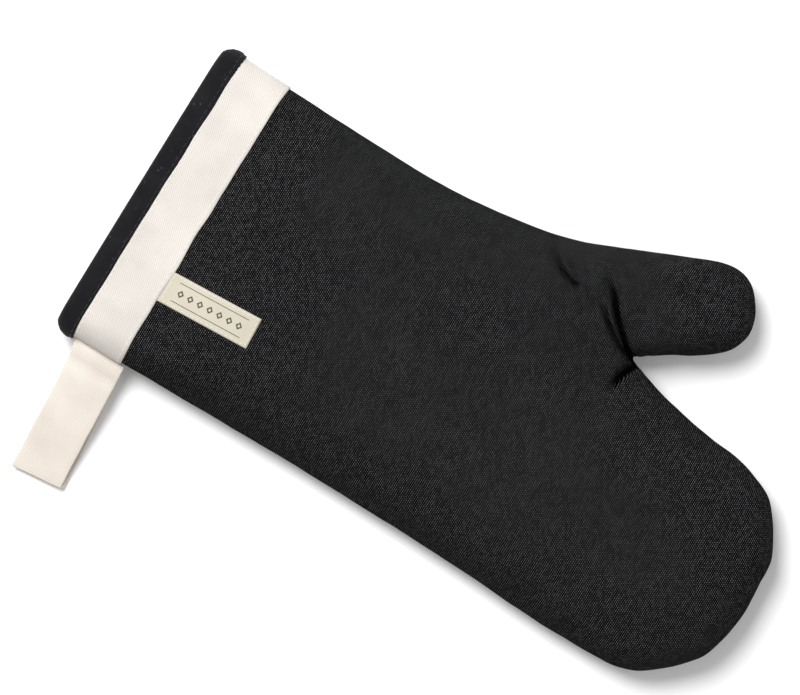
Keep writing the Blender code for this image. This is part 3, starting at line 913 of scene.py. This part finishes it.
def stitch_row(name, path, normals, stitch, material):
    """Separate stitches round a closed path, each a plump thread that dips in at both ends."""
    length, gap, radius, wobble = stitch
    path = np.concatenate([path, path[:1]])
    normals = np.concatenate([normals, normals[:1]])
    travelled = run_lengths(path)
    count = int(travelled[-1] // (length + gap))
    pitch = travelled[-1] / count
    sides = 7
    verts, faces = [], []

    def at(values, s):
        return np.array([np.interp(s, travelled, values[:, c]) for c in range(3)])

    for n in range(count):
        begin = n * pitch + gap / 2
        end = begin + (pitch - gap)
        chord = at(path, end) - at(path, begin)
        forward = chord / np.linalg.norm(chord)
        base = len(verts)
        shift = wobble * noise.noise((n * 0.7, 4.0, 2.0))
        for t, lift, girth in STITCH_SHAPE:
            s = begin + t * (end - begin)
            up = at(normals, s)
            up /= np.linalg.norm(up)
            side = np.cross(forward, up)
            centre = at(path, s) + up * lift * radius + side * shift
            for k in range(sides):
                turn = k / sides * math.tau
                verts.append(centre + radius * girth * (math.cos(turn) * side + math.sin(turn) * up))
        for ring in range(len(STITCH_SHAPE) - 1):
            for k in range(sides):
                m = (k + 1) % sides
                a, b = base + ring * sides, base + (ring + 1) * sides
                faces.append((a + k, a + m, b + m, b + k))
        faces.append(tuple(base + k for k in reversed(range(sides))))
        last = base + (len(STITCH_SHAPE) - 1) * sides
        faces.append(tuple(last + k for k in range(sides)))
    mesh = cloth_mesh(name, verts, faces, material)
    turn_outwards(mesh)
    return new_object(name, mesh)


def surface_under(obj):
    """A search tree over a finished piece."""
    return BVHTree.FromPolygons([v.co for v in obj.data.vertices],
                                [tuple(p.vertices) for p in obj.data.polygons])


def dropped_on(tree, points, normals):
    """Each point moved along its normal onto the piece."""
    landed = []
    for point, normal in zip(points, normals):
        start = Vector(point) + Vector(normal) * DROP_FROM
        hit, _, _, _ = tree.ray_cast(start, -Vector(normal), 2 * DROP_FROM)
        landed.append(tuple(hit) if hit else tuple(point))
    return np.array(landed)


def build_cuff_stitching(cuff, tapes, binding, ecru, black):
    for side, x in (("cuff_side", BAND_X0 + SEWN_IN), ("hand_side", BAND_X1 - SEWN_IN)):
        over = cuff.section(x, RING_STEPS, "upper")
        under = cuff.section(x, RING_STEPS, "lower")
        runs = [dropped_on(surface_under(tape), *part) for tape, part in zip(tapes, (over, under))]
        path = np.concatenate([runs[0], runs[1][-2:0:-1]])
        normals = np.concatenate([over[1], under[1][-2:0:-1]])
        row = stitch_row(f"tape_stitches_{side}", path, normals, TAPE_STITCH, ecru)
        carried(row, "hand", f"tape_stitching_{side}")
    points, normals = cuff.ring(BINDING_X - BINDING_SEWN_IN, RING_STEPS)
    path = dropped_on(surface_under(binding), points, normals)
    row = stitch_row("binding_stitches", path, normals, BINDING_STITCH, black)
    carried(row, "hand", "binding_stitching")


# ---- the label ----
LABEL_LENGTH = 0.0472
LABEL_WIDTH = 0.0158
LABEL_THICK = 0.0005
LABEL_CENTRE = (-0.1148, -0.0179)
LABEL_TURN_DEG = 3.2
LABEL_TUCK = 0.0020             # how far its cuff end reaches under the tape
LABEL_GRID = (60, 22)           # faces along and across
LABEL_ROUNDING = 0.00025        # how soft its edges are
LABEL_RIPPLE = 0.00006          # how uneven its face is
LABEL_CLEAR = 0.0001            # between the cloth and the label's back
LOOK_FROM_Z = 0.08              # a height well above the whole mitt
LABEL_STITCH = (0.0020, 0.0006, 0.00014, 0.0)
LABEL_STITCH_INSET = 0.0011     # from the label's edges to its stitches


def label_place(along, across):
    turn = math.radians(LABEL_TURN_DEG)
    x = LABEL_CENTRE[0] + along * math.cos(turn) - across * math.sin(turn)
    y = LABEL_CENTRE[1] + along * math.sin(turn) + across * math.cos(turn)
    return x, y


def seen_from_above(tree, x, y):
    """The highest point of a surface at a place, and its normal."""
    return tree.ray_cast(Vector((x, y, LOOK_FROM_Z)), Vector((0, 0, -1)))[:2]


def build_label(cuff, material, thread):
    """A woven label lying on the fabric, thinner towards its rounded edges, its ends sewn down."""
    columns, lines = LABEL_GRID
    top, bottom, flat = [], [], []
    for j in range(lines + 1):
        for i in range(columns + 1):
            along = (i / columns - 0.5) * LABEL_LENGTH - LABEL_TUCK * (1.0 - i / columns)
            across = (j / lines - 0.5) * LABEL_WIDTH
            x, y = label_place(along, across)
            hit, normal = seen_from_above(cuff.tree, x, y)
            from_edge = max(0.0, min(LABEL_WIDTH / 2 - abs(across), LABEL_LENGTH / 2 - abs(along)))
            soft = 1.0 - 0.55 * math.exp(-from_edge / LABEL_ROUNDING)
            ripple = LABEL_RIPPLE * noise.noise((along * 130, across * 150, 2.0))
            base = hit + normal * LABEL_CLEAR
            top.append(tuple(base + normal * (LABEL_THICK * soft + ripple)))
            bottom.append(tuple(base))
            flat.append((along, across))
    verts = top + bottom
    count = len(top)
    wide = columns + 1
    faces = []
    for j in range(lines):
        for i in range(columns):
            a = j * wide + i
            faces.append((a, a + 1, a + 1 + wide, a + wide))
            faces.append((count + a + wide, count + a + 1 + wide, count + a + 1, count + a))
    rim = list(range(columns))
    rim += [columns + j * wide for j in range(lines)]
    rim += [lines * wide + columns - i for i in range(columns)]
    rim += [(lines - j) * wide for j in range(lines)]
    for a, b in zip(rim, rim[1:] + rim[:1]):
        faces.append((b, a, count + a, count + b))
    corners = [[flat[v % count] for v in face] for face in faces]
    label = new_object("label_tag", cloth_mesh("label_tag", verts, faces, material, corners))
    carried(label, "hand", "woven_label")
    build_label_stitching(surface_under(label), thread)


def build_label_stitching(tree, thread):
    half = np.array((LABEL_LENGTH, LABEL_WIDTH)) / 2 - LABEL_STITCH_INSET
    corners = [half * signs for signs in ((-1, -1), (1, -1), (1, 1), (-1, 1), (-1, -1))]
    steps = 24
    path, normals = [], []
    for a, b in zip(corners, corners[1:]):
        for k in range(steps):
            x, y = label_place(*(a + (b - a) * k / steps))
            hit, normal = seen_from_above(tree, x, y)
            path.append(tuple(hit))
            normals.append(tuple(normal))
    row = stitch_row("label_stitches", np.array(path), np.array(normals), LABEL_STITCH, thread)
    carried(row, "hand", "label_stitching")


# ---- the hanging loop ----
LOOP_WIDTH = 0.0255
LOOP_LENGTH = 0.0645
LOOP_THICK = 0.0008
LOOP_ROOT = Vector(JOINTS["loop_swing"]["pos_m"])
LOOP_LEAN_DEG = 3.6
LOOP_HALF_GAP = 0.00045         # half the distance between the two layers at their ends
LOOP_TUCK = 0.0020              # how far the ends reach into the side seam
LOOP_SKEW = 0.0014              # how much the fold is out of square
LOOP_BULGE = 0.0026             # and how much more that is half way along
LOOP_END_Z = 0.0030             # height of the folded end
LOOP_DIP = (0.0080, 0.0030, 0.0017)  # a dent in the upper layer: where, how long, how deep
LOOP_FLARE = 0.0016             # how much wider the upper layer is where it leaves the seam
LOOP_SAG = 0.00035              # how far the tape dishes and waves across its width


def loop_run():
    """The tape's middle line seen along its width, from the seam out, round and back."""
    steps = 26
    dip_at, dip_length, dip_depth = LOOP_DIP
    out, back = [], []
    for k in range(steps + 1):
        t = k / steps
        away = t * LOOP_LENGTH - LOOP_TUCK * (1.0 - t)
        middle = SEAM_Z + (LOOP_END_Z - SEAM_Z) * math.sin(t * math.pi / 2)
        bow = LOOP_HALF_GAP + LOOP_BULGE * math.sin(math.pi * t) ** 0.8
        dip = dip_depth * math.exp(-((away - dip_at) / dip_length) ** 2)
        out.append((away, middle + bow - dip))
        back.append((away, middle - bow))
    end = [(LOOP_LENGTH + 0.0005, LOOP_END_Z + side * 0.0003) for side in (1, -1)]
    return out + end + back[::-1]


def loop_sides(away, upper):
    """The tape's two edges at a distance from the root, towards the cuff and the fingers."""
    lean = away * math.tan(math.radians(LOOP_LEAN_DEG))
    flare = LOOP_FLARE * math.exp(-away / 0.006) if upper else 0.0
    twist = (-0.0005 if upper else 0.0006) * smoothstep(away / LOOP_LENGTH)
    wave = [0.00018 * noise.noise((away * 120, 3.0 * side, 1.0 + upper)) for side in (-1, 1)]
    middle = lean + twist
    return middle - LOOP_WIDTH / 2 - flare + wave[0], middle + LOOP_WIDTH / 2 + wave[1]


def build_loop(material):
    run = loop_run()
    across = (-1.0, -0.985, -0.93, -0.75, -0.4, 0.0, 0.4, 0.75, 0.93, 0.985, 1.0)
    puff = (0.15, 0.62, 0.92, 1.0, 0.97, 0.95, 0.97, 1.0, 0.92, 0.62, 0.15)
    line = np.array(run)
    tangent = np.gradient(line, axis=0)
    tangent /= np.linalg.norm(tangent, axis=1, keepdims=True)
    rows = []
    for i, ((away, z), (ta, tz)) in enumerate(zip(run, tangent)):
        upper = i <= len(run) // 2
        left, right = loop_sides(away, upper)
        skew = -LOOP_SKEW * smoothstep((away - 0.5 * LOOP_LENGTH) / (0.5 * LOOP_LENGTH))
        outer, inner = [], []
        for s, p in zip(across, puff):
            x = (left + right) / 2 + s * (right - left) / 2
            sag = LOOP_SAG * math.cos(2.2 * s + away * 60) * smoothstep(away / 0.02)
            half = LOOP_THICK / 2 * p
            centre = Vector((x, -(away + skew * s), z + sag - SEAM_Z))
            normal = Vector((0.0, tz, ta))
            outer.append(tuple(LOOP_ROOT + centre + normal * half))
            inner.append(tuple(LOOP_ROOT + centre - normal * half))
        rows.append(np.array(outer + inner[::-1]))
    lengths = run_lengths(line)
    width = [s * LOOP_WIDTH / 2 for s in across]
    flat = (lengths, width + width[::-1] + width[:1])
    loop = closed_strip("hanging_tape_loop", rows, False, material, flat)
    carried(loop, "loop", "hanging_loop")


# ---- materials ----
class Value:
    """A number that varies over a material. Sums and products of these make its patterns."""

    def __init__(self, tree, socket):
        self.tree = tree
        self.socket = socket

    def math(self, operation, *others, clamp=False):
        node = self.tree.nodes.new("ShaderNodeMath")
        node.operation = operation
        node.use_clamp = clamp
        for socket, value in zip(node.inputs, (self, *others)):
            put(socket, value)
        return Value(self.tree, node.outputs[0])

    def __add__(self, other):
        return self.math("ADD", other)

    def __sub__(self, number):
        return self + -number

    def __mul__(self, other):
        return self.math("MULTIPLY", other)

    def __abs__(self):
        return self.math("ABSOLUTE")

    def scaled(self, low, high):
        """A 0 to 1 value spread between low and high."""
        return self * (high - low) + low

    def wave(self):
        """0 in the grooves and 1 on the crests of a wave that repeats at every whole number."""
        return (self * math.tau).math("COSINE") * -0.5 + 0.5

    def ribs(self, pitch):
        return (self * (1.0 / pitch)).wave()


def put(socket, value):
    if isinstance(value, Value):
        value.tree.links.new(value.socket, socket)
    else:
        socket.default_value = value


def colour(value):
    """Red, green and blue from 0 to 255 as a linear colour; a varying one passes through."""
    if isinstance(value, Value):
        return value
    shares = [c / 255 for c in value]
    return (*(c / 12.92 if c <= 0.04045 else ((c + 0.055) / 1.055) ** 2.4 for c in shares), 1.0)


class Nodes:
    """A material's node tree, with short calls for what its patterns start from."""

    def __init__(self, name, roughness, sheen=0.0, specular=0.12):
        self.material = bpy.data.materials.new(name)
        self.material.use_nodes = True
        self.tree = self.material.node_tree
        self.shader = self.tree.nodes["Principled BSDF"]
        self.shader.inputs["Roughness"].default_value = roughness
        self.shader.inputs["Sheen Weight"].default_value = sheen
        self.shader.inputs["Sheen Roughness"].default_value = 0.45
        self.shader.inputs["Specular IOR Level"].default_value = specular

    def node(self, kind, **inputs):
        node = self.tree.nodes.new(f"ShaderNode{kind}")
        for name, value in inputs.items():
            put(node.inputs[name], value)
        return node

    def output(self, node, name=0):
        return Value(self.tree, node.outputs[name])

    def cloth(self):
        """The flat cloth's two coordinates in metres, and both together as a place."""
        place = self.node("UVMap")
        place.uv_map = "cloth"
        split = self.node("SeparateXYZ", Vector=self.output(place))
        return self.output(split, 0), self.output(split, 1), self.output(place)

    def noise(self, at, scale, detail=2.0, roughness=0.5):
        node = self.node("TexNoise", Vector=at, Scale=scale, Detail=detail, Roughness=roughness)
        return self.output(node, "Fac")

    def random(self, x, y):
        """A number from 0 to 1 for each pair of whole numbers."""
        node = self.node("TexWhiteNoise", Vector=self.output(self.node("CombineXYZ", X=x, Y=y)))
        node.noise_dimensions = "2D"
        return self.output(node, "Value")

    def specks(self, at, scale, size, share):
        """1 in small round spots scattered at random, 0 between them."""
        cells = self.node("TexVoronoi", Vector=at, Scale=scale)
        pick = self.output(self.node("SeparateColor", Color=self.output(cells, "Color")))
        near = (self.output(cells, "Distance") * (-1.0 / size)).math("ADD", 1.0, clamp=True)
        return pick.math("LESS_THAN", share) * near

    def blend(self, amount, first, second):
        node = self.node("Mix")
        node.data_type = "RGBA"
        for name, value in (("Factor", amount), ("A", colour(first)), ("B", colour(second))):
            put(node.inputs[name], value)
        return self.output(node, "Result")

    def finish(self, base, height, depth):
        """Base colour, and relief of that depth in metres where height goes from 0 to 1."""
        put(self.shader.inputs["Base Color"], base)
        bump = self.node("Bump", Strength=1.0, Distance=depth, Height=height)
        put(self.shader.inputs["Normal"], self.output(bump))
        return self.material


def woven(nodes, rib_pitch, float_length, drift, random_height):
    """Ribs across the first coordinate, broken along the second into floats of random height
    that step from rib to rib by drift. Gives the height from 0 to 1, and the place."""
    u, v, at = nodes.cloth()
    sway = nodes.noise(at, 260.0).scaled(-0.00014, 0.00014)
    rib = (u + sway) * (1.0 / rib_pitch)
    float_at = (v + sway) * (1.0 / float_length)
    index = rib.math("FLOOR")
    along = float_at + index * drift + nodes.random(index, 3.0) * 0.10
    chance = nodes.random(index, along.math("FLOOR"))
    height = rib.wave() * 0.62 + (float_at + rib * drift).wave() * 0.38
    return height * chance.scaled(1.0 - random_height, 1.0), at


def black_twill():
    nodes = Nodes("black_cotton_twill", 0.85, specular=0.0)
    height, at = woven(nodes, 0.00094, 0.00104, 0.46, 0.20)
    tone = height.math("POWER", 5.4) * nodes.noise(at, 26.0, 3.0, 0.6).scaled(0.86, 1.14)
    # painted shade: the fold attribute darkens the twill's colour to an eighth of itself deep in the folds
    fold = nodes.node("Attribute")
    fold.attribute_name = "fold"
    tone = tone * nodes.output(fold, "Fac").scaled(1.0, 0.12)
    return nodes.finish(nodes.blend(tone, (0, 0, 0), (138, 138, 141)), height, 0.00040)


def dark_lining():
    nodes = Nodes("dark_lining_cotton", 0.85)
    height, _ = woven(nodes, 0.00080, 0.00092, 0.5, 0.35)
    return nodes.finish(nodes.blend(height, (16, 17, 19), (42, 43, 46)), height, 0.0001)


def ecru_twill(name, dark, light):
    nodes = Nodes(name, 0.86, sheen=0.12)
    u, v, at = nodes.cloth()
    sway = nodes.noise(at, 320.0).scaled(-0.12, 0.12)
    picks = (u * (1.0 / 0.00096) + sway).wave()
    slants = (v * (1.0 / 0.00098) + u * 290.0 + sway).wave()
    height = picks * 0.58 + slants * 0.42
    tone = (height - 0.5) * 0.9 + nodes.noise(at, 45.0, 3.0).scaled(0.1, 0.9)
    return nodes.finish(nodes.blend(tone, dark, light), height, 0.00012)


def black_binding_cloth():
    nodes = Nodes("black_binding", 0.75, sheen=0.03, specular=0.08)
    u, v, at = nodes.cloth()
    height = u.ribs(0.00046) * v.ribs(0.00050)
    base = nodes.blend(nodes.noise(at, 90.0, 3.0, 0.65), (9, 9, 11), (33, 33, 37))
    lint = nodes.specks(at, 620.0, 0.40, 0.04)
    return nodes.finish(nodes.blend(lint * 0.7, base, (80, 76, 80)), height, 0.00005)


LINE_AT = 0.0047                # from the label's middle to its two fine lines
LINE_HALF_WIDTH = 0.00018
LOZENGE_PITCH = 0.0052
LOZENGE_HALF_LENGTH = 0.0017
LOZENGE_HALF_WIDTH = 0.0019
TRIM_HALF_LENGTH = 0.0185


def label_cloth():
    """Cream ribbon with a plain woven trim: two fine lines and a row of small lozenges."""
    nodes = Nodes("cream_woven_label", 0.80, sheen=0.08)
    u, v, at = nodes.cloth()
    height = v.ribs(0.00042) * u.ribs(0.00036).scaled(0.6, 1.0)
    tone = nodes.noise(at, 120.0).scaled(0.2, 0.8)
    ribbon = nodes.blend(tone, (182, 176, 159), (198, 192, 176))
    across = abs(v + nodes.noise(at, 1400.0).scaled(-0.00007, 0.00007))
    lines = abs(across - LINE_AT).math("LESS_THAN", LINE_HALF_WIDTH)
    along = abs((u * (1.0 / LOZENGE_PITCH) + 0.5).math("FRACT") - 0.5)
    lozenge = along * (LOZENGE_PITCH / LOZENGE_HALF_LENGTH) + across * (1.0 / LOZENGE_HALF_WIDTH)
    rings = lozenge.math("LESS_THAN", 1.0) * lozenge.math("GREATER_THAN", 0.45)
    mark = lines.math("MAXIMUM", rings) * abs(u).math("LESS_THAN", TRIM_HALF_LENGTH)
    return nodes.finish(nodes.blend(mark * 0.88, ribbon, (52, 50, 46)), height, 0.00005)


def thread(name, dark, light):
    nodes = Nodes(name, 0.6, sheen=0.1)
    place = nodes.output(nodes.node("TexCoord"), "Object")
    base = nodes.blend(nodes.noise(place, 900.0), dark, light)
    return nodes.finish(base, nodes.noise(place, 2600.0), 0.00004)


def wadding_fibre():
    nodes = Nodes("cotton_wadding", 0.95)
    _, _, at = nodes.cloth()
    tufts = nodes.noise(at, 900.0, 4.0, 0.7)
    base = nodes.blend(tufts, (205, 200, 190), (240, 237, 230))
    return nodes.finish(base, tufts, 0.0003)


def floor_material():
    nodes = Nodes("studio_floor", 0.9)
    put(nodes.shader.inputs["Base Color"], (0.95, 0.95, 0.95, 1.0))
    return nodes.material


# ---- studio ----
VIEW_CENTRE = (-0.0294, 0.0141)
VIEW_TURN_DEG = 31.6
VIEW_WIDTH = 0.3804             # what the frame's width takes in, at the height of the side seam
VIEW_DISTANCE = 2.0
SENSOR = 36.0
FLOOR_HALF = 3.0


def build_floor():
    corners = [(FLOOR_HALF * x, FLOOR_HALF * y, 0.0) for x, y in ((-1, -1), (1, -1), (1, 1), (-1, 1))]
    mesh = new_mesh("floor", corners, [(0, 1, 2, 3)])
    mesh.materials.append(floor_material())
    new_object("floor", mesh)


def soft_light(name, place, target, size, power):
    data = bpy.data.lights.new(name, "AREA")
    data.shape = "DISK"
    data.size = size
    data.energy = power
    lamp = bpy.data.objects.new(name, data)
    bpy.context.scene.collection.objects.link(lamp)
    lamp.location = place
    lamp.rotation_euler = (Vector(target) - Vector(place)).to_track_quat("-Z", "Y").to_euler()


def light_studio():
    middle = (0.0, 0.0, 0.0)
    soft_light("key", (-0.98, 0.45, 1.62), middle, 1.1, 43.0)
    soft_light("fill", (1.2, 0.2, 1.6), middle, 1.4, 7.0)
    world = bpy.data.worlds.new("studio")
    world.use_nodes = True
    world.node_tree.nodes["Background"].inputs[0].default_value = (1.0, 1.0, 1.0, 1.0)
    world.node_tree.nodes["Background"].inputs[1].default_value = 0.40
    bpy.context.scene.world = world


def build_camera():
    data = bpy.data.cameras.new("camera")
    data.sensor_width = SENSOR
    data.lens = SENSOR * VIEW_DISTANCE / VIEW_WIDTH
    data.clip_end = 20.0
    camera = bpy.data.objects.new("camera", data)
    bpy.context.scene.collection.objects.link(camera)
    camera.location = (*VIEW_CENTRE, SEAM_Z + VIEW_DISTANCE)
    camera.rotation_euler = (0.0, 0.0, math.radians(VIEW_TURN_DEG))
    bpy.context.scene.camera = camera


# ---- everything ----
def build_mitt():
    pattern = Pattern()
    settle(pattern)
    for reach in CREASE_REACH:
        pattern.refine(reach)
    skins = {name: Skin(pattern, depth) for name, depth in DEPTHS.items()}
    carve(skins)
    pucker(skins)
    cuff = Cuff(pattern, skins["outer"])
    for skin in skins.values():
        skin.upper = round_corners(skin.upper, cuff)
        skin.lower = round_corners(skin.lower, cuff)
    wadding = layer_surface("wadding", skins["wadding"], skins["under_wadding"])
    lining = layer_surface("lining", skins["lining"], skins["inside"])
    layer_pieces("outer", *outer_surface(skins["outer"]), black_twill(), "black_cotton_twill")
    layer_pieces("wadding", *wadding, wadding_fibre(), "cotton_wadding")
    layer_pieces("lining", *lining, dark_lining(), "dark_lining_cotton")
    return cuff


def build_trims(cuff):
    ecru = ecru_twill("ecru_twill_tape", (184, 178, 171), (219, 214, 208))
    ecru_sewing = thread("ecru_thread", (216, 208, 200), (238, 231, 224))
    black_sewing = thread("black_thread", (16, 16, 18), (58, 58, 62))
    tapes = [build_tape(cuff, half, ecru) for half in ("upper", "lower")]
    binding = build_binding(cuff, black_binding_cloth())
    build_cuff_stitching(cuff, tapes, binding, ecru_sewing, black_sewing)
    build_label(cuff, label_cloth(), ecru_sewing)
    # painted light: the loop's copy of the ecru twill is lighter and warmer than the band's, making up for
    # the shade it lies in beside the mitt
    build_loop(ecru_twill("ecru_loop_tape_lightened", (193, 183, 173), (229, 221, 212)))


bpy.context.scene.view_settings.view_transform = "Standard"
build_camera()
light_studio()
build_floor()
build_trims(build_mitt())
